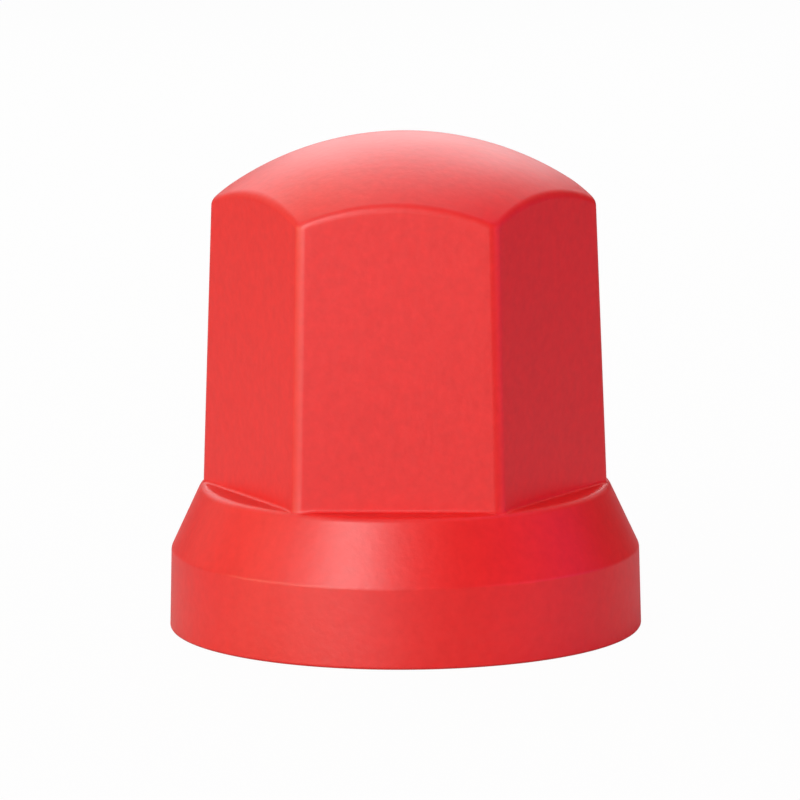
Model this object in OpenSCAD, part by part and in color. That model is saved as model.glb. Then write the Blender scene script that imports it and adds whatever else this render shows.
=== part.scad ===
// Cover cap for a wheel nut: one moulded shell with a domed hexagon on a conical skirt.
// Millimetres, +Z up. The origin is the centre of the open rim that stands against the wheel.
// Two corners of the hexagon point along X, so one flat faces -Y and one faces +Y.

/* [Nut and its washer] */
// Distance across the flats of the wheel nut that the cap grips
nut_af = 32; // [30:0.1:34]
// Diameter of the nut's captive washer, which the skirt hides
washer_d = 46; // [44:0.1:47]
// Height above the wheel that the grip ribs reach
rib_top = 34; // [28:0.5:37]

/* [Clearances] */
// Gap between each flat of the nut and the socket's wall, at the ledge
nut_gap = 0.7; // [0.5:0.05:1]
// Gap all round between the washer and the skirt's bore
washer_gap = 0.3; // [0.1:0.05:0.8]
// Depth by which each grip rib presses into a flat of the nut
rib_grip = 0.15; // [0.05:0.05:0.3]

/* [Walls] */
// Wall thickness of the hexagon, the dome, the ledge and the cone
wall = 2; // [1.5:0.1:2.5]
// Wall thickness of the skirt at its open rim
skirt_wall = 1.7; // [1.3:0.1:2.5]

/* [Skirt and cone] */
// Height of the skirt, up to the edge where the cone begins
skirt_h = 8.5; // [7:0.1:10]
// Inward slope of the skirt's outer wall, in degrees
skirt_draft = 1.4; // [0.2:0.1:2.5]
// Height of the ledge that the hexagon stands on
ledge_h = 15.4; // [14:0.1:18]
// Width by which the ledge's rim passes the hexagon's corners
ledge_margin = 0.2; // [0.1:0.05:1]
// Radius of the rounded edge round the ledge
ledge_edge_r = 1.5; // [0.4:0.1:2]
// Radius of the rounded edge between the cone and the skirt
cone_edge_r = 1; // [0.4:0.1:3]
// Radius of the rounded outer edge of the open rim
rim_edge_r = 0.3; // [0.1:0.05:0.5]
// Chamfer that leads the washer into the skirt's bore
bore_lead = 0.3; // [0.1:0.05:0.5]

/* [Hexagon and dome] */
// Overall height of the cap
cap_h = 52.6; // [50:0.1:58]
// Inward slope of the six flats, in degrees
hex_draft = 1.8; // [0.5:0.1:2.2]
// Radius of the domed top
dome_r = 32.6; // [29:0.1:45]
// Radius of the six upright edges between the flats
upright_edge_r = 2; // [2:0.1:3]
// Radius of the rounded edge between the flats and the dome
dome_edge_r = 1.3; // [0.6:0.1:2]
// Radius of the small fillet where each flat stands on the ledge
foot_fillet = 0.4; // [0.2:0.05:0.7]

/* [Socket] */
// Radius of the rounded corners inside the socket
socket_edge_r = 0.6; // [0.4:0.1:1]
// Chamfer that leads the nut into the socket
socket_lead = 0.6; // [0.3:0.1:0.9]
// Width of each grip rib
rib_w = 1.2; // [0.8:0.1:2]
// Distance between the two grip ribs on a flat
rib_pitch = 9; // [5:0.5:12]
// Slope at the ends of a rib, in degrees from the vertical
rib_slope = 30; // [20:5:45]

/* [Hidden] */

// Smoothness of the dome, of the socket's roof, of rounded edges and of turned surfaces
dome_fn = 96;
roof_fn = 48;
edge_fn = 24;
turned_fn = 180;
// Largest turn between two points of a rounded corner in an outline, in degrees
arc_step = 9;
// Turn between two points of a foot fillet, and the depth its ends run into flat and ledge
foot_step = 22.5;
foot_sink = 0.03;
// Length by which one solid reaches into another that it joins or cuts
over = 1;

sides = 6;
half_turn = 180 / sides;

// The hexagon's half width across its flats and its corner radius, outside and at the ledge
hex_half = nut_af / 2 + nut_gap + wall;
corner_r = corner_at(hex_half, upright_edge_r);

// The skirt's bore follows the washer, and the ledge's rim follows the hexagon's corners
bore_r = washer_d / 2 + washer_gap;
rim_r = bore_r + skirt_wall;
skirt_top_r = rim_r - skirt_h * tan(skirt_draft);
ledge_r = corner_r + ledge_margin;
ledge_under = ledge_h - wall;

// Slope of the cone from the vertical; its inner face runs parallel to the outer one
cone_slope = atan((skirt_top_r - ledge_r) / (ledge_h - skirt_h));
cone_wall_across = wall / cos(cone_slope);

// Radius of the ledge's flat part, inside its rounded edge
ledge_flat_r = ledge_r - ledge_edge_r * tan((90 - cone_slope) / 2);

// Faces of the grip ribs: they stand in from the socket's walls to press on the nut's flats
rib_face = nut_af / 2 - rib_grip;

// Distance of the cone's outer face from the axis at height z
function cone_at(z) = ledge_r + (ledge_h - z) * tan(cone_slope);
// Height at which the cone's inner face has the radius r
function cone_inside_z(r) = ledge_h - (r + cone_wall_across - ledge_r) / tan(cone_slope);
// Distance of a flat from the axis at height z, for a hexagon set back by inset
function flat_at(z, inset) = hex_half - inset / cos(hex_draft) - (z - ledge_h) * tan(hex_draft);
// Distance of a corner rounded to r from the axis, between flats at the distance flat
function corner_at(flat, r) = (flat - r) / cos(half_turn) + r;

function unit(v) = v / norm(v);

// Points that round the corner b between a and c with the radius r
function round_corner(a, b, c, r) =
    let(
        to_a = unit(a - b),
        to_c = unit(c - b),
        half = acos(to_a * to_c) / 2,
        turn = 180 - 2 * half,
        centre = b + unit(to_a + to_c) * r / sin(half),
        first = b + to_a * r / tan(half) - centre,
        last = b + to_c * r / tan(half) - centre,
        steps = ceil(turn / arc_step)
    )
    [for (i = [0:steps])
        centre + (first * sin(turn * (1 - i / steps)) + last * sin(turn * i / steps)) / sin(turn)];

// Outline through corners given as [x, y, radius], each rounded by its own radius
function rounded(corners) =
    let(n = len(corners), at = [for (p = corners) [p[0], p[1]]])
    [for (i = [0:n - 1])
        each corners[i][2] == 0
            ? [at[i]]
            : round_corner(at[(i + n - 1) % n], at[i], at[(i + 1) % n], corners[i][2])];

// Hexagonal frustum whose flats stand at the distances low and high from the axis
module frustum(low, high, z_low, z_high) {
    translate([0, 0, z_low])
        cylinder(
            h = z_high - z_low,
            r1 = low / cos(half_turn),
            r2 = high / cos(half_turn),
            $fn = sides
        );
}

// Hexagon with drafted flats between two heights, set back by inset
module drafted_hex(inset, z_low, z_high) {
    frustum(flat_at(z_low, inset), flat_at(z_high, inset), z_low, z_high);
}

// The same hexagon with its corners cut back, as far as a rounding of the radius r would,
// by a second hexagon turned halfway between its flats
module cornered_hex(inset, r, z_low, z_high) {
    intersection() {
        drafted_hex(inset, z_low, z_high);
        rotate([0, 0, half_turn])
            frustum(corner_at(flat_at(z_low, inset), r), corner_at(flat_at(z_high, inset), r), z_low, z_high);
    }
}

// Form under a dome, with all its edges rounded to edge_r and its dome set back by inset:
// the form is given smaller by edge_r all round, and a ball of that radius grows it back
module domed(inset, edge_r, top_fn) {
    minkowski() {
        intersection() {
            children();
            translate([0, 0, cap_h - dome_r])
                sphere(r = dome_r - inset - edge_r, $fn = top_fn);
        }
        sphere(r = edge_r, $fn = edge_fn);
    }
}

// Skirt, cone and ledge as a solid of revolution
module skirt_outside() {
    rotate_extrude($fn = turned_fn)
        polygon(rounded([
            [0, 0, 0],
            [rim_r, 0, rim_edge_r],
            [skirt_top_r, skirt_h, cone_edge_r],
            [ledge_r, ledge_h, ledge_edge_r],
            [0, ledge_h, 0]
        ]));
}

// Small concave fillets at the feet of the flats, as far as the ledge is flat
module foot_fillets() {
    centre = foot_fillet - foot_sink;
    arc = [for (turn = [0:foot_step:90]) [centre - foot_fillet * cos(turn), centre - foot_fillet * sin(turn)]];
    outline = concat(arc, [[centre, -over], [-over, -over], [-over, centre]]);
    intersection() {
        cylinder(r = ledge_flat_r, h = cap_h, $fn = turned_fn);
        for (side = [0:sides - 1])
            rotate([0, 0, half_turn * (2 * side + 1)])
                translate([hex_half, ledge_flat_r, ledge_h])
                    rotate([90, 0, 0])
                        linear_extrude(height = 2 * ledge_flat_r)
                            polygon(outline);
    }
}

// Hollow under the ledge: the bore for the washer, then the cone's inner face
module skirt_inside() {
    rotate_extrude($fn = turned_fn)
        polygon([
            [0, -over],
            [bore_r + bore_lead + over, -over],
            [bore_r, bore_lead],
            [bore_r, cone_inside_z(bore_r)],
            [cone_at(ledge_under) - cone_wall_across, ledge_under],
            [0, ledge_under]
        ]);
}

// Hollow for the nut: a rounded hexagon whose mouth widens to lead the nut in
module socket() {
    domed(wall, socket_edge_r, roof_fn)
        drafted_hex(wall + socket_edge_r, skirt_h + socket_edge_r, cap_h);
    hull() {
        drafted_hex(wall - socket_lead, skirt_h, ledge_under);
        drafted_hex(wall, skirt_h, ledge_under + socket_lead);
    }
}

// One grip rib on the flat that faces +X, with a slope at each end
module grip_rib() {
    depth = flat_at(ledge_under, wall) - rib_face;
    root = flat_at(rib_top, wall) + over;
    rise = (root - rib_face) / tan(rib_slope);
    start = ledge_under + socket_lead;
    translate([0, rib_w / 2, 0])
        rotate([90, 0, 0])
            linear_extrude(height = rib_w)
                polygon([
                    [rib_face, start + depth],
                    [root, start - (root - rib_face - depth)],
                    [root, rib_top],
                    [rib_face, rib_top - rise]
                ]);
}

module grip_ribs() {
    for (side = [0:sides - 1], y = [-rib_pitch / 2, rib_pitch / 2])
        rotate([0, 0, half_turn * (2 * side + 1)])
            translate([0, y, 0])
                grip_rib();
}

module cover_cap() {
    color("#e2392f")
        difference() {
            union() {
                skirt_outside();
                foot_fillets();
                domed(0, dome_edge_r, dome_fn)
                    cornered_hex(dome_edge_r, upright_edge_r - dome_edge_r, ledge_under, cap_h);
            }
            skirt_inside();
            difference() {
                socket();
                grip_ribs();
            }
        }
}

cover_cap();
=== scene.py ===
"""Cover cap for a wheel nut: its moulded shell, its plastic and a small studio round it."""

from math import atan, cos, floor, pi, radians, sin, sqrt, tan

import bmesh
import bpy
from bpy.props import FloatProperty, FloatVectorProperty, IntProperty, PointerProperty
from bpy.types import Operator, Panel, PropertyGroup
from mathutils import Matrix, Vector


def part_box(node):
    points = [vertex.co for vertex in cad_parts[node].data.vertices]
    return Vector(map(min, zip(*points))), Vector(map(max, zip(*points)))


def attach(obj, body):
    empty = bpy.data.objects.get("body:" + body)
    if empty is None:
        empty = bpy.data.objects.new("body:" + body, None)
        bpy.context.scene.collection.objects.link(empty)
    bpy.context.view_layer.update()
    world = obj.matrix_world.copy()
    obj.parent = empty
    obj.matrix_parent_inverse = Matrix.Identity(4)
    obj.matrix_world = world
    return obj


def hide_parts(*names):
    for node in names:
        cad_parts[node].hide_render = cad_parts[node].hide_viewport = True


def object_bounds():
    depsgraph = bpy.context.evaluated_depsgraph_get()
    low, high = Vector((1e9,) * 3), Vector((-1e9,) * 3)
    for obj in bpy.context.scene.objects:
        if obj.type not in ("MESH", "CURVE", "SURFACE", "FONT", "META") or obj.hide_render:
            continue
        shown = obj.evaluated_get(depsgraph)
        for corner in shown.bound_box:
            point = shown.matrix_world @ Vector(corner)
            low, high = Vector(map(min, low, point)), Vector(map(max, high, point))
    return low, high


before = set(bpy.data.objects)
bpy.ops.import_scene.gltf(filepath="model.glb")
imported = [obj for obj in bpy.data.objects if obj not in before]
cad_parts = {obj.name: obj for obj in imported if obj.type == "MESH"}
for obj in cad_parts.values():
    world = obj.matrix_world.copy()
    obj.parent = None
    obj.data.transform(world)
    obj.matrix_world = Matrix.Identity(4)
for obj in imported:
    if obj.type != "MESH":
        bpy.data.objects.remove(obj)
CAD_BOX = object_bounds()

bl_info = {
    "name": "Wheel nut cover cap",
    "version": (1, 0, 0),
    "blender": (4, 5, 0),
    "location": "3D View > Sidebar > Nut Cap",
    "description": "Models a moulded cover cap for a wheel nut and lights it in a studio",
    "category": "Add Mesh",
}

NODE = "cover_cap"
PIECE = "cap_shell"

MM = 0.001
SIDES = 6
HALF_SIDE = pi / SIDES
# Turns smaller than this, in radians, count as none
NO_TURN = 1e-6
# Pull of large faces on the shading: 50 is neutral, and more favours the large ones
FACE_WEIGHT = 60
FLOOR_SEGMENTS = 96
SENSOR_WIDTH = 36
CLIP_START = 0.05
CLIP_END = 20


def sized(name, description, millimetres, lowest=0):
    """A length property, given in millimetres and kept in metres."""
    return FloatProperty(
        name=name,
        description=description,
        default=millimetres * MM,
        min=lowest,
        precision=5,
        unit="LENGTH",
        subtype="DISTANCE",
    )


def angled(name, description, value):
    """An angle property, given in degrees."""
    return FloatProperty(
        name=name,
        description=description,
        default=radians(value),
        unit="ROTATION",
        subtype="ANGLE",
    )


def counted(name, description, count, least):
    """A whole number of faces."""
    return IntProperty(name=name, description=description, default=count, min=least)


def linear(hex_colour):
    """Linear RGBA of an sRGB colour such as e2392f."""
    channels = []
    for i in (0, 2, 4):
        c = int(hex_colour[i : i + 2], 16) / 255
        channels.append(c / 12.92 if c <= 0.04045 else ((c + 0.055) / 1.055) ** 2.4)
    return (*channels, 1)


def coloured(name, description, hex_colour):
    """A colour property, given in sRGB and kept linear."""
    return FloatVectorProperty(
        name=name, description=description, subtype="COLOR", default=linear(hex_colour)[:3]
    )


def cad_size(axis):
    """Size of the CAD cap along an axis, in millimetres."""
    low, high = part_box(NODE)
    return (high[axis] - low[axis]) / MM


class CapSizes(PropertyGroup):
    """Sizes of the cap's shell, outside and inside."""

    width: sized("Width", "Diameter of the skirt at its open rim", cad_size(0))
    height: sized("Height", "Overall height of the cap", cad_size(2))
    wall: sized("Wall", "Wall thickness of hexagon, dome, ledge and cone", 2)
    skirt_height: sized("Skirt height", "Height of the edge where the cone begins", 8.5)
    skirt_draft: angled("Skirt draft", "Inward slope of the skirt's outer wall", 1.4)
    rim_edge: sized("Rim edge", "Radius of the rim's rounded outer edge", 0.3)
    cone_edge: sized("Cone edge", "Radius of the edge between skirt and cone", 1)
    ledge_height: sized("Ledge height", "Height of the ledge under the hexagon", 15.4)
    ledge_margin: sized("Ledge margin", "Width by which the ledge passes the corners", 0.2)
    ledge_edge: sized("Ledge edge", "Radius of the ledge's rounded edge", 1)
    flats: sized("Across flats", "Width of the hexagon across its flats at the ledge", 37.4)
    hex_draft: angled("Hexagon draft", "Inward slope of the six flats", 1.8)
    upright_edge: sized("Upright edge", "Radius of the six edges between the flats", 1.5)
    dome_edge: sized("Dome edge", "Radius of the edge between the flats and the dome", 1.3)
    foot_fillet: sized("Foot fillet", "Radius of the fillet at the feet of the flats", 0.4)
    dome_radius: sized("Dome radius", "Radius of the domed top", 32.6)
    bore: sized("Bore", "Diameter of the skirt's bore for the washer", 46.6)
    bore_lead: sized("Bore lead", "Chamfer at the mouth of the bore", 0.3)
    socket_edge: sized("Socket edge", "Radius of the corners inside the socket", 0.6)
    socket_lead: sized("Socket lead", "Chamfer at the mouth of the socket", 0.6)
    rib_width: sized("Rib width", "Width of a grip rib", 1.2)
    rib_pitch: sized("Rib pitch", "Distance between the two ribs on a flat", 9)
    rib_faces: sized("Rib faces", "Distance across the socket between facing ribs", 31.7)
    rib_top: sized("Rib top", "Height of the upper end of the ribs", 34)
    rib_slope: angled("Rib slope", "Slope of a rib's upper end from the vertical", 30)


class CapMesh(PropertyGroup):
    """Fineness of the shell's mesh, and which of its edges stay sharp."""

    flat_columns: counted("Columns on a flat", "Faces across one flat", 28, 4)
    corner_columns: counted("Columns on a corner", "Faces round one corner", 12, 2)
    edge_rows: counted("Rows on an edge", "Faces across a rounded edge", 9, 2)
    dome_rows: counted("Rows on the dome", "Faces from the dome's edge to its top", 20, 4)
    wall_rows: counted("Rows on a wall", "Faces from foot to top of a flat", 8, 1)
    sharp_angle: angled("Sharp angle", "Edges that turn by more than this stay sharp", 30)


class CapPlastic(PropertyGroup):
    """Colours of the cap's polypropylene, and of its edges, which are partly rubbed and partly
    a painted highlight.
    """

    dark: coloured("Dark patches", "Where the pigment lies a little denser", "d91916")
    light: coloured("Light patches", "Where the pigment lies a little thinner", "e11b18")
    # Paler colour of the edges: partly rubbed wear, partly a painted highlight
    rubbed_and_highlit: coloured("Rubbed edges", "Where handling has rubbed the edges", "e23a33")


def arc(centre, first, last, steps):
    """Points on a circle round centre, from the offset first to the offset last."""
    turn = first.angle(last)
    if turn < NO_TURN:
        return [centre + first] * (steps + 1)
    return [
        centre
        + (first * sin(turn * (1 - i / steps)) + last * sin(turn * i / steps)) / sin(turn)
        for i in range(steps + 1)
    ]


def rounded_corner(before, corner, after, radius, steps):
    """Points that round a corner of an outline, from the side of before to that of after."""
    back = (before - corner).normalized()
    ahead = (after - corner).normalized()
    half = back.angle(ahead) / 2
    centre = corner + (back + ahead).normalized() * radius / sin(half)
    reach = radius / tan(half)
    return arc(centre, corner + back * reach - centre, corner + ahead * reach - centre, steps)


class Shell:
    """Outline of the cap's wall in the half plane at any angle round the axis."""

    def __init__(self, sizes, mesh):
        self.s = sizes
        self.m = mesh
        self.half = sizes.flats / 2
        self.rim = sizes.width / 2
        drawn_in = sizes.skirt_height * tan(sizes.skirt_draft)
        self.skirt_top = Vector((self.rim - drawn_in, sizes.skirt_height))
        corner = (self.half - sizes.upright_edge) / cos(HALF_SIDE) + sizes.upright_edge
        self.ledge = Vector((corner + sizes.ledge_margin, sizes.ledge_height))
        cone_height = self.ledge.y - self.skirt_top.y
        self.slope = atan((self.skirt_top.x - self.ledge.x) / cone_height)
        self.ledge_flat = self.ledge.x - sizes.ledge_edge * tan(pi / 4 - self.slope / 2)
        self.under = sizes.ledge_height - sizes.wall

    def apothem(self, z, inset):
        """Distance of a flat from the axis at the height z, set back by inset."""
        draft = self.s.hex_draft
        return self.half - inset / cos(draft) - (z - self.s.ledge_height) * tan(draft)

    def wall_at(self, angle, z, inset, edge):
        """Distance from the axis to the rounded hexagon, in the direction angle."""
        turned = angle / (2 * HALF_SIDE)
        off = abs(turned - floor(turned) - 0.5) * 2 * HALF_SIDE
        flat = self.apothem(z, inset)
        corner = (flat - edge) / cos(HALF_SIDE)
        if off <= atan((flat - edge) * tan(HALF_SIDE) / flat):
            return flat / cos(off)
        beta = HALF_SIDE - off
        return corner * cos(beta) + sqrt(edge**2 - (corner * sin(beta)) ** 2)

    def flank(self, angle, z, inset, edge):
        """A point of the wall at height z, and its upward and inward directions."""
        step = MM
        here = Vector((self.wall_at(angle, z, inset, edge), z))
        above = Vector((self.wall_at(angle, z + step, inset, edge), z + step))
        up = (above - here).normalized()
        return here, up, Vector((-up.y, up.x))

    def domed(self, angle, inset, upright, edge, low, rows, edge_rows, dome_rows):
        """Wall, rounded edge and dome, from the height low to the axis."""
        radius = self.s.dome_radius - inset
        centre = Vector((0, self.s.height - self.s.dome_radius))
        guess = centre.y + sqrt(radius**2 - self.apothem(centre.y + radius, inset) ** 2) - edge
        foot, up, inward = self.flank(angle, guess, inset, upright)
        start = foot + inward * edge - centre
        along = start.dot(up)
        reach = -along + sqrt(along**2 - start.length_squared + (radius - edge) ** 2)
        ball = centre + start + up * reach
        top = ball - inward * edge
        outward = (ball - centre).normalized()
        points = []
        for i in range(rows):
            z = low + (top.y - low) * i / rows
            points.append(Vector((self.wall_at(angle, z, inset, upright), z)))
        points += arc(ball, top - ball, outward * edge, edge_rows)
        rise = Vector((0, radius))
        points += arc(centre, outward * radius, rise, dome_rows)[1:]
        return points

    def foot(self, angle):
        """Ledge from its rounded edge inwards, then the small fillet up to the wall."""
        s = self.s
        steps = self.m.edge_rows
        fillet = s.foot_fillet
        inset_foot, up, inward = self.flank(angle, s.ledge_height + fillet, 0, s.upright_edge)
        edge_centre = Vector((self.ledge_flat, s.ledge_height - s.ledge_edge))
        centre = inset_foot - inward * fillet
        if centre.x <= edge_centre.x:
            centre.y = s.ledge_height + fillet
            down = Vector((0, -fillet))
            edge_end = Vector((0, s.ledge_edge))
        else:
            reach = s.ledge_edge + fillet
            centre.y = edge_centre.y + sqrt(reach**2 - (centre.x - edge_centre.x) ** 2)
            towards = (centre - edge_centre).normalized()
            down = -towards * fillet
            edge_end = towards * s.ledge_edge
        cone_side = Vector((cos(self.slope), sin(self.slope))) * s.ledge_edge
        points = arc(edge_centre, cone_side, edge_end, steps)
        points += arc(centre, down, inward * fillet, steps // 2)
        return points

    def outside(self, angle):
        """Outer outline, from the rim's flat face to the top of the dome."""
        s = self.s
        steps = self.m.edge_rows
        rim = Vector((self.rim, 0))
        mouth = Vector((s.bore / 2, 0))
        points = rounded_corner(mouth, rim, self.skirt_top, s.rim_edge, steps // 2)
        points += rounded_corner(rim, self.skirt_top, self.ledge, s.cone_edge, steps)
        points += self.foot(angle)
        low = points[-1].y
        rows = (self.m.wall_rows, steps, self.m.dome_rows)
        points += self.domed(angle, 0, s.upright_edge, s.dome_edge, low, *rows)[1:]
        return points

    def inside(self, angle):
        """Inner outline, from the bore to the top of the socket's roof."""
        s = self.s
        steps = self.m.edge_rows
        across = s.wall / cos(self.slope)
        bore = s.bore / 2
        cone_low = self.ledge.y - (bore + across - self.ledge.x) / tan(self.slope)
        cone_high = self.ledge.x + s.wall * tan(self.slope) - across
        lead = s.socket_lead
        mouth = self.wall_at(angle, self.under, s.wall - lead, s.socket_edge)
        points = [
            Vector((bore, s.bore_lead)),
            Vector((bore, cone_low)),
            Vector((cone_high, self.under)),
            Vector((mouth, self.under)),
        ]
        rows = (self.m.wall_rows, steps // 2, self.m.dome_rows // 2)
        low = self.under + lead
        points += self.domed(angle, s.wall, s.socket_edge, s.socket_edge, low, *rows)
        return points

    def mouth(self):
        """Radius of the bore's mouth on the rim's flat face."""
        return self.s.bore / 2 + self.s.bore_lead

    def columns(self):
        """Angles of the mesh's columns: even over a flat, closer together round a corner."""
        flat = atan((self.half - self.s.upright_edge) * tan(HALF_SIDE) / self.half)
        zone = HALF_SIDE - flat
        angles = []
        for side in range(SIDES):
            start = side * 2 * HALF_SIDE
            for i in range(self.m.corner_columns):
                angles.append(start - zone + 2 * zone * i / self.m.corner_columns)
            wide = 2 * (HALF_SIDE - zone)
            for i in range(self.m.flat_columns):
                angles.append(start + zone + wide * i / self.m.flat_columns)
        return angles


def place(vert, angle, point):
    """Moves a vertex to a point of the outline, in the half plane at that angle."""
    vert.co = (point.x * cos(angle), point.x * sin(angle), point.y)


def grow(mesh, ring, columns, outline):
    """Extrudes a ring of edges through each column's outline and closes it at the axis."""
    layer = mesh.verts.layers.int["column"]
    outlines = [outline(angle) for angle in columns]
    for points in zip(*outlines):
        made = bmesh.ops.extrude_edge_only(mesh, edges=ring)["geom"]
        verts = [g for g in made if isinstance(g, bmesh.types.BMVert)]
        edges = [g for g in made if isinstance(g, bmesh.types.BMEdge)]
        grown = set(verts)
        ring = [edge for edge in edges if grown.issuperset(edge.verts)]
        for vert in verts:
            place(vert, columns[vert[layer]], points[vert[layer]])
    bmesh.ops.pointmerge(mesh, verts=verts, merge_co=(0, 0, points[0].y))


def new_object(name, mesh):
    """Makes an object of a bmesh, at the origin, and frees the bmesh."""
    data = bpy.data.meshes.new(name)
    mesh.to_mesh(data)
    mesh.free()
    obj = bpy.data.objects.new(name, data)
    bpy.context.scene.collection.objects.link(obj)
    return obj


def shell_mesh(shell):
    """The whole wall, one closed surface grown both ways from the mouth of the bore."""
    mesh = bmesh.new()
    columns = shell.columns()
    layer = mesh.verts.layers.int.new("column")
    bmesh.ops.create_circle(mesh, cap_ends=False, radius=shell.mouth(), segments=len(columns))
    for i, (vert, angle) in enumerate(zip(mesh.verts, columns)):
        vert[layer] = i
        place(vert, angle, Vector((shell.mouth(), 0)))
    ring = list(mesh.edges)
    grow(mesh, ring, columns, shell.outside)
    grow(mesh, ring, columns, shell.inside)
    mesh.verts.layers.int.remove(layer)
    bmesh.ops.recalc_face_normals(mesh, faces=mesh.faces)
    return mesh


def rib_mesh(shell):
    """Grip ribs of all flats: slim bars with sloped ends, two to a flat."""
    s = shell.s
    face = s.rib_faces / 2
    root = shell.apothem(s.rib_top, s.wall) + s.wall / 2
    start = shell.under + s.socket_lead
    depth = shell.apothem(shell.under, s.wall) - face
    corners = [
        (face, start + depth),
        (root, start + depth - (root - face)),
        (root, s.rib_top),
        (face, s.rib_top - (root - face) / tan(s.rib_slope)),
    ]
    mesh = bmesh.new()
    for side in range(SIDES):
        for middle in (-s.rib_pitch / 2, s.rib_pitch / 2):
            verts = [mesh.verts.new((x, middle - s.rib_width / 2, z)) for x, z in corners]
            flat = mesh.faces.new(verts)
            made = bmesh.ops.extrude_face_region(mesh, geom=[flat])["geom"]
            moved = [g for g in made if isinstance(g, bmesh.types.BMVert)]
            bmesh.ops.translate(mesh, verts=moved, vec=(0, s.rib_width, 0))
            turn = Matrix.Rotation(HALF_SIDE * (2 * side + 1), 3, "Z")
            bmesh.ops.rotate(mesh, verts=verts + moved, cent=(0, 0, 0), matrix=turn)
    bmesh.ops.recalc_face_normals(mesh, faces=mesh.faces)
    return mesh


def join_solid(obj, other):
    """Fuses other into obj, as one moulding, and removes other."""
    modifier = obj.modifiers.new("Fuse", "BOOLEAN")
    modifier.operation = "UNION"
    modifier.solver = "EXACT"
    modifier.object = other
    depsgraph = bpy.context.evaluated_depsgraph_get()
    fused = bpy.data.meshes.new_from_object(obj.evaluated_get(depsgraph))
    obj.modifiers.clear()
    obj.data = fused
    bpy.data.objects.remove(other)


def smooth(obj, sharp_angle):
    """Smooth shading that leaves real edges sharp and flats flat."""
    obj.data.shade_smooth()
    obj.data.set_sharp_from_angle(angle=sharp_angle)
    weighted = obj.modifiers.new("Weighted normals", "WEIGHTED_NORMAL")
    weighted.keep_sharp = True
    weighted.weight = FACE_WEIGHT


def add_node(tree, kind, settings=None, inputs=None, links=None):
    """Adds a node with its settings, its input values and the sockets that feed it."""
    node = tree.nodes.new(kind)
    for name, value in (settings or {}).items():
        setattr(node, name, value)
    for name, value in (inputs or {}).items():
        node.inputs[name].default_value = value
    for name, socket in (links or {}).items():
        tree.links.new(socket, node.inputs[name])
    return node


def moulded_polypropylene(plastic):
    """Red polypropylene, moulded in a finely eroded steel mould: satin, not glossy."""
    material = bpy.data.materials.new("polypropylene_red_moulded_satin")
    material.use_nodes = True
    tree = material.node_tree
    shader = tree.nodes["Principled BSDF"]
    shader.inputs["IOR"].default_value = 1.49
    shader.inputs["Specular IOR Level"].default_value = 0.78
    place_on = add_node(tree, "ShaderNodeTexCoord").outputs["Object"]

    # Clouds, specks, grain and waves: largest spots in millimetres, detail, roughness
    patterns = []
    for size, detail, rough in ((9, 3, 0.55), (1.1, 2, 0.6), (0.8, 2, 0.5), (14, 1, 0.4)):
        noise = add_node(
            tree,
            "ShaderNodeTexNoise",
            inputs={"Scale": 1 / (size * MM), "Detail": detail, "Roughness": rough},
            links={"Vector": place_on},
        )
        patterns.append(noise.outputs["Fac"])
    clouds, specks, grain, waves = patterns

    # Pigment that flowed unevenly: patches about 9 mm wide, hardly darker or lighter
    patches = add_node(
        tree,
        "ShaderNodeMix",
        settings={"data_type": "RGBA"},
        inputs={"A": (*plastic.dark, 1), "B": (*plastic.light, 1)},
        links={"Factor": clouds},
    )
    # Specks of pigment, drawn at 1.1 mm, coarser than real ones, so that they show
    speckled = add_node(
        tree,
        "ShaderNodeMix",
        settings={"data_type": "RGBA", "blend_type": "SOFT_LIGHT"},
        inputs={"Factor": 0.4},
        links={"A": patches.outputs["Result"], "B": specks},
    )
    # Handling has rubbed the edges a little smoother than the flats, whose Pointiness is 0.5;
    # their paler colour is partly that wear and partly a painted highlight along the edges
    edges = add_node(
        tree,
        "ShaderNodeMapRange",
        inputs={"From Min": 0.503, "From Max": 0.53, "To Min": 0, "To Max": 1},
        links={"Value": add_node(tree, "ShaderNodeNewGeometry").outputs["Pointiness"]},
    )
    rubbed_and_highlit = add_node(
        tree,
        "ShaderNodeMath",
        settings={"operation": "MULTIPLY"},
        links={0: edges.outputs["Result"], 1: grain},
    )
    # Edges drawn paler: partly rubbed wear, partly a painted highlight
    worn_and_highlit = add_node(
        tree,
        "ShaderNodeMix",
        settings={"data_type": "RGBA"},
        inputs={"B": (*plastic.rubbed_and_highlit, 1)},
        links={"Factor": rubbed_and_highlit.outputs[0], "A": speckled.outputs["Result"]},
    )
    tree.links.new(worn_and_highlit.outputs["Result"], shader.inputs["Base Color"])

    # The wall's slow sink waves, about 14 mm, under the eroded mould's grain; real grain
    # is about 0.1 mm, and it is drawn at 0.8 mm so that it shows
    slow = add_node(
        tree,
        "ShaderNodeBump",
        inputs={"Strength": 0.35, "Distance": 0.1 * MM},
        links={"Height": waves},
    )
    fine = add_node(
        tree,
        "ShaderNodeBump",
        inputs={"Strength": 0.75, "Distance": 0.03 * MM},
        links={"Height": grain, "Normal": slow.outputs["Normal"]},
    )
    tree.links.new(fine.outputs["Normal"], shader.inputs["Normal"])

    # Satin gloss, a little uneven from place to place and smoother on the rubbed edges
    satin = add_node(
        tree,
        "ShaderNodeMapRange",
        inputs={"To Min": 0.37, "To Max": 0.47},
        links={"Value": clouds},
    )
    gloss = add_node(
        tree,
        "ShaderNodeMath",
        settings={"operation": "MULTIPLY_ADD"},
        inputs={1: -0.05},
        links={0: rubbed_and_highlit.outputs[0], 2: satin.outputs["Result"]},
    )
    tree.links.new(gloss.outputs[0], shader.inputs["Roughness"])
    return material


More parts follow.
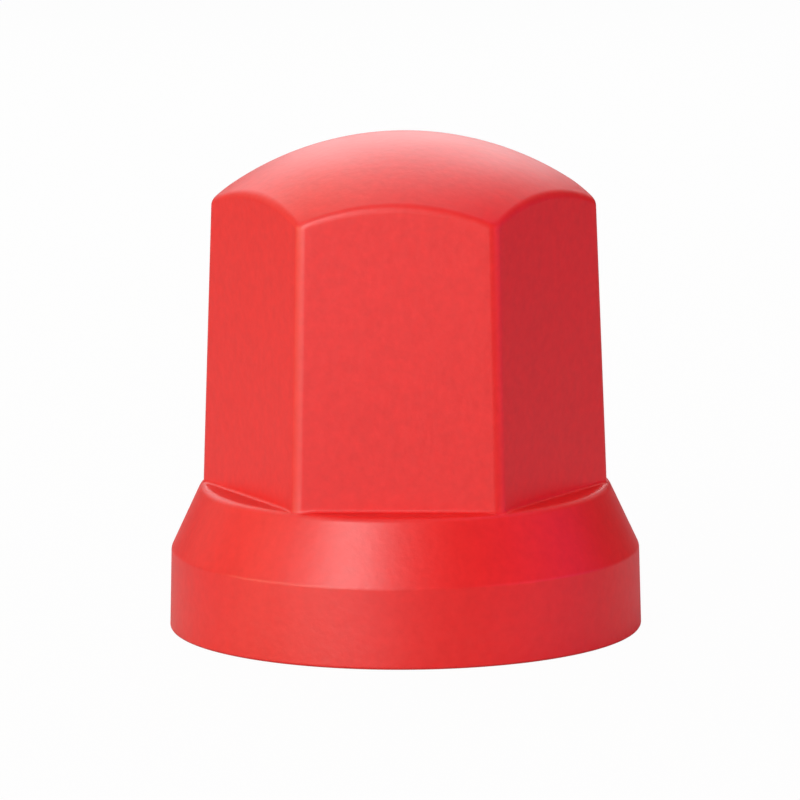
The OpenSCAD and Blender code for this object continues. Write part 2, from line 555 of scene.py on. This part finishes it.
def floor_paper(colour, glow):
    """Matt studio paper that glows for the camera: white, with a soft shadow on it."""
    material = bpy.data.materials.new("studio_paper_matt_white")
    material.use_nodes = True
    tree = material.node_tree
    shader = tree.nodes["Principled BSDF"]
    shader.inputs["Base Color"].default_value = (*colour, 1)
    shader.inputs["Roughness"].default_value = 0.9
    shader.inputs["Specular IOR Level"].default_value = 0
    # Only the camera sees the glow, or the plastic would lose the dark parts of its gloss
    path = add_node(tree, "ShaderNodeLightPath")
    share = add_node(
        tree,
        "ShaderNodeMath",
        settings={"operation": "MULTIPLY"},
        inputs={1: glow},
        links={0: path.outputs["Is Camera Ray"]},
    )
    white = add_node(tree, "ShaderNodeEmission", inputs={"Color": (1, 1, 1, 1), "Strength": 1})
    seen = add_node(
        tree,
        "ShaderNodeMixShader",
        links={0: share.outputs[0], 1: shader.outputs["BSDF"], 2: white.outputs["Emission"]},
    )
    # From below the paper is clear, so that the cap's inside can be looked at
    side = add_node(tree, "ShaderNodeNewGeometry").outputs["Backfacing"]
    clear = add_node(tree, "ShaderNodeBsdfTransparent").outputs["BSDF"]
    sided = add_node(
        tree, "ShaderNodeMixShader", links={0: side, 1: seen.outputs[0], 2: clear}
    )
    tree.links.new(sided.outputs[0], tree.nodes["Material Output"].inputs["Surface"])
    return material


def surround(strength, glow):
    """Even light all round, which the camera sees as the same white as the paper."""
    world = bpy.data.worlds.new("studio_surround")
    world.use_nodes = True
    tree = world.node_tree
    background = tree.nodes["Background"]
    background.inputs["Color"].default_value = (1, 1, 1, 1)
    path = add_node(tree, "ShaderNodeLightPath")
    level = add_node(
        tree,
        "ShaderNodeMath",
        settings={"operation": "MULTIPLY_ADD"},
        inputs={1: glow - strength, 2: strength},
        links={0: path.outputs["Is Camera Ray"]},
    )
    tree.links.new(level.outputs[0], background.inputs["Strength"])
    return world


def powered(name, description, watts):
    """The power of a lamp, in watts."""
    return FloatProperty(
        name=name, description=description, default=watts, min=0, unit="POWER"
    )


class Studio(PropertyGroup):
    """Camera, lamps and floor."""

    distance: sized("Camera distance", "From the camera to the point it looks at", 961)
    azimuth: angled("Camera azimuth", "Turn of the camera round the cap, towards +X", 2.24)
    elevation: angled("Camera elevation", "Height of the camera above the horizon", 9.74)
    roll: angled("Camera roll", "Tilt of the camera round its own view", -0.31)
    aim_right: sized("Aim right", "Aimed point, to the right of the axis", -0.61, lowest=-1)
    aim_up: sized("Aim up", "Aimed point, upwards in the picture from the rim's centre", 23.75)
    lens: FloatProperty(
        name="Lens", description="Focal length in mm on a 36 mm sensor", default=407.3
    )
    floor_radius: sized("Floor radius", "Radius of the round paper floor", 3000)
    floor_hole: sized("Floor hole", "Radius of the hole in the paper, under the cap", 24.65)
    paper: FloatVectorProperty(
        name="Paper",
        description="Colour of the floor",
        subtype="COLOR",
        default=(0.5, 0.5, 0.5),
    )
    glow: FloatProperty(
        name="Glow", description="Share of plain white in the floor as seen", default=0.975
    )
    world: FloatProperty(
        name="World", description="Strength of the even light all round", default=0.08
    )
    lamp_distance: sized("Softbox distance", "From the middle of the cap to each softbox", 500)
    key: powered("Key", "Small softbox at the front left, above the camera", 0.652)
    brow: powered("Brow", "Softbox high at the front", 0.264)
    fill: powered("Fill", "Softbox low beside the camera", 0.338)
    front: powered("Front", "Softbox low at the left of the camera", 0.368)
    front_left: powered("Front left", "Warm softbox low at the front left", 0.577)
    left: powered("Left", "Small warm softbox low at the left", 0.327)
    left_high: powered("Left high", "Softbox high at the left", 0.2)
    top: powered("Top", "Softbox straight above the cap", 0.19)
    right_low: powered("Right low", "Rose softbox low at the right", 0.85)
    right: powered("Right", "Magenta softbox low at the far right", 0.19)
    right_high: powered("Right high", "Pink softbox high at the right", 0.381)
    back: powered("Back", "Softbox behind the cap", 0.48)
    back_low: powered("Back low", "Softbox low behind the cap", 0.12)
    back_high: powered("Back high", "Softbox high behind the cap", 0.3)
    back_left: powered("Back left", "Softbox at the back left", 0.34)
    back_left_low: powered("Back left low", "Warm softbox low at the back left", 0.125)
    back_left_high: powered("Back left high", "Warm softbox high at the back left", 0.226)
    back_right: powered("Back right", "Softbox at the back right", 0.14)
    under: powered("Under", "Softbox under the floor, for the inside of the cap", 2)


# Azimuth and elevation in degrees, side in millimetres and colour of each softbox
SOFTBOXES = {
    "key": (-30, 30, 140, "ffffff"),
    "brow": (-20, 42, 200, "ffffff"),
    "fill": (-15, 8, 260, "ffffff"),
    "front": (-30, 8, 260, "ffffff"),
    "front_left": (-45, 8, 260, "fffbe2"),
    "left": (-75, 8, 140, "fff6c8"),
    "left_high": (-75, 50, 260, "ffffff"),
    "top": (0, 88, 300, "ffffff"),
    "right_low": (60, 8, 260, "ff617c"),
    "right": (90, 8, 260, "ff70f0"),
    "right_high": (90, 55, 260, "ff70a8"),
    "back": (180, 30, 260, "ffffff"),
    "back_low": (180, 14, 200, "ffffff"),
    "back_high": (180, 55, 260, "ffffff"),
    "back_left": (-150, 30, 260, "ffffff"),
    "back_left_low": (-120, 20, 260, "ffead6"),
    "back_left_high": (-135, 55, 260, "ffffe8"),
    "back_right": (155, 35, 260, "ffffff"),
    "under": (0, -70, 300, "ffffff"),
}


class NUTCAP_OT_shell(Operator):
    """Model the cap's shell and give it its plastic"""

    bl_idname = "nutcap.shell"
    bl_label = "Cap shell"

    def execute(self, context):
        shell = Shell(context.scene.nutcap_sizes, context.scene.nutcap_mesh)
        cap = new_object(PIECE, shell_mesh(shell))
        ribs = new_object("grip_ribs", rib_mesh(shell))
        join_solid(cap, ribs)
        smooth(cap, context.scene.nutcap_mesh.sharp_angle)
        cap.data.materials.append(moulded_polypropylene(context.scene.nutcap_plastic))
        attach(cap, "root")
        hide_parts(NODE)
        return {"FINISHED"}


def direction(azimuth, elevation):
    """Unit vector from the cap; azimuth 0 is the side of the camera and 90 is +X."""
    level = cos(elevation)
    return Vector((sin(azimuth) * level, -cos(azimuth) * level, sin(elevation)))


def softbox(name, power, size, colour, place_at, target):
    """A square area lamp that looks at the target."""
    data = bpy.data.lights.new(name, "AREA")
    data.shape = "SQUARE"
    data.size = size
    data.energy = power
    data.color = linear(colour)[:3]
    lamp = bpy.data.objects.new(name, data)
    lamp.location = place_at
    lamp.rotation_euler = (target - place_at).to_track_quat("-Z", "Y").to_euler()
    bpy.context.scene.collection.objects.link(lamp)


def floor_mesh(studio):
    """A round floor, open only under the cap, so that light reaches the inside from below."""
    mesh = bmesh.new()
    hole = studio.floor_hole
    bmesh.ops.create_circle(mesh, cap_ends=False, radius=hole, segments=FLOOR_SEGMENTS)
    made = bmesh.ops.extrude_edge_only(mesh, edges=list(mesh.edges))["geom"]
    verts = [g for g in made if isinstance(g, bmesh.types.BMVert)]
    wider = studio.floor_radius / hole
    bmesh.ops.scale(mesh, verts=verts, vec=(wider, wider, 1))
    mesh.normal_update()
    bmesh.ops.reverse_faces(mesh, faces=[face for face in mesh.faces if face.normal.z < 0])
    return mesh


class NUTCAP_OT_stage(Operator):
    """Set up the floor, the lamps and the world"""

    bl_idname = "nutcap.stage"
    bl_label = "Studio stage"

    def execute(self, context):
        studio = context.scene.nutcap_studio
        paper = new_object("studio_floor", floor_mesh(studio))
        paper.data.materials.append(floor_paper(studio.paper, studio.glow))
        middle = (CAD_BOX[0] + CAD_BOX[1]) / 2
        for name, (azimuth, elevation, size, colour) in SOFTBOXES.items():
            away = direction(radians(azimuth), radians(elevation)) * studio.lamp_distance
            power = getattr(studio, name)
            softbox(name + "_softbox", power, size * MM, colour, middle + away, middle)
        context.scene.world = surround(studio.world, studio.glow)
        context.scene.view_settings.view_transform = "Standard"
        return {"FINISHED"}


class NUTCAP_OT_camera(Operator):
    """Set up the camera at the picture's angle"""

    bl_idname = "nutcap.camera"
    bl_label = "Picture camera"

    def execute(self, context):
        studio = context.scene.nutcap_studio
        back = direction(studio.azimuth, studio.elevation)
        right = Vector((cos(studio.azimuth), sin(studio.azimuth), 0))
        up = back.cross(right)
        turned_right = right * cos(studio.roll) + up * sin(studio.roll)
        turned_up = up * cos(studio.roll) - right * sin(studio.roll)
        target = turned_right * studio.aim_right + turned_up * studio.aim_up
        data = bpy.data.cameras.new("picture_camera")
        data.lens = studio.lens
        data.sensor_width = SENSOR_WIDTH
        data.clip_start = CLIP_START
        data.clip_end = CLIP_END
        camera = bpy.data.objects.new("picture_camera", data)
        context.scene.collection.objects.link(camera)
        turn = Matrix((turned_right, turned_up, back)).transposed()
        stand = target + back * studio.distance
        camera.matrix_world = Matrix.Translation(stand) @ turn.to_4x4()
        context.scene.camera = camera
        return {"FINISHED"}


class NUTCAP_PT_panel(Panel):
    """Steps that build the cap and its studio"""

    bl_idname = "NUTCAP_PT_panel"
    bl_label = "Nut Cap"
    bl_space_type = "VIEW_3D"
    bl_region_type = "UI"
    bl_category = "Nut Cap"

    def draw(self, context):
        layout = self.layout
        scene = context.scene
        groups = (
            scene.nutcap_sizes,
            scene.nutcap_mesh,
            scene.nutcap_plastic,
            scene.nutcap_studio,
        )
        for group in groups:
            box = layout.box()
            for name in group.__annotations__:
                box.prop(group, name)
        for operator in (NUTCAP_OT_shell, NUTCAP_OT_stage, NUTCAP_OT_camera):
            layout.operator(operator.bl_idname)


CLASSES = (
    CapSizes,
    CapMesh,
    CapPlastic,
    Studio,
    NUTCAP_OT_shell,
    NUTCAP_OT_stage,
    NUTCAP_OT_camera,
    NUTCAP_PT_panel,
)


def register():
    for cls in CLASSES:
        bpy.utils.register_class(cls)
    bpy.types.Scene.nutcap_sizes = PointerProperty(type=CapSizes)
    bpy.types.Scene.nutcap_mesh = PointerProperty(type=CapMesh)
    bpy.types.Scene.nutcap_plastic = PointerProperty(type=CapPlastic)
    bpy.types.Scene.nutcap_studio = PointerProperty(type=Studio)


def unregister():
    del bpy.types.Scene.nutcap_studio
    del bpy.types.Scene.nutcap_plastic
    del bpy.types.Scene.nutcap_mesh
    del bpy.types.Scene.nutcap_sizes
    for cls in reversed(CLASSES):
        bpy.utils.unregister_class(cls)


def main():
    register()
    bpy.ops.nutcap.camera()
    bpy.ops.nutcap.shell()
    bpy.ops.nutcap.stage()


if __name__ == "__main__":
    main()
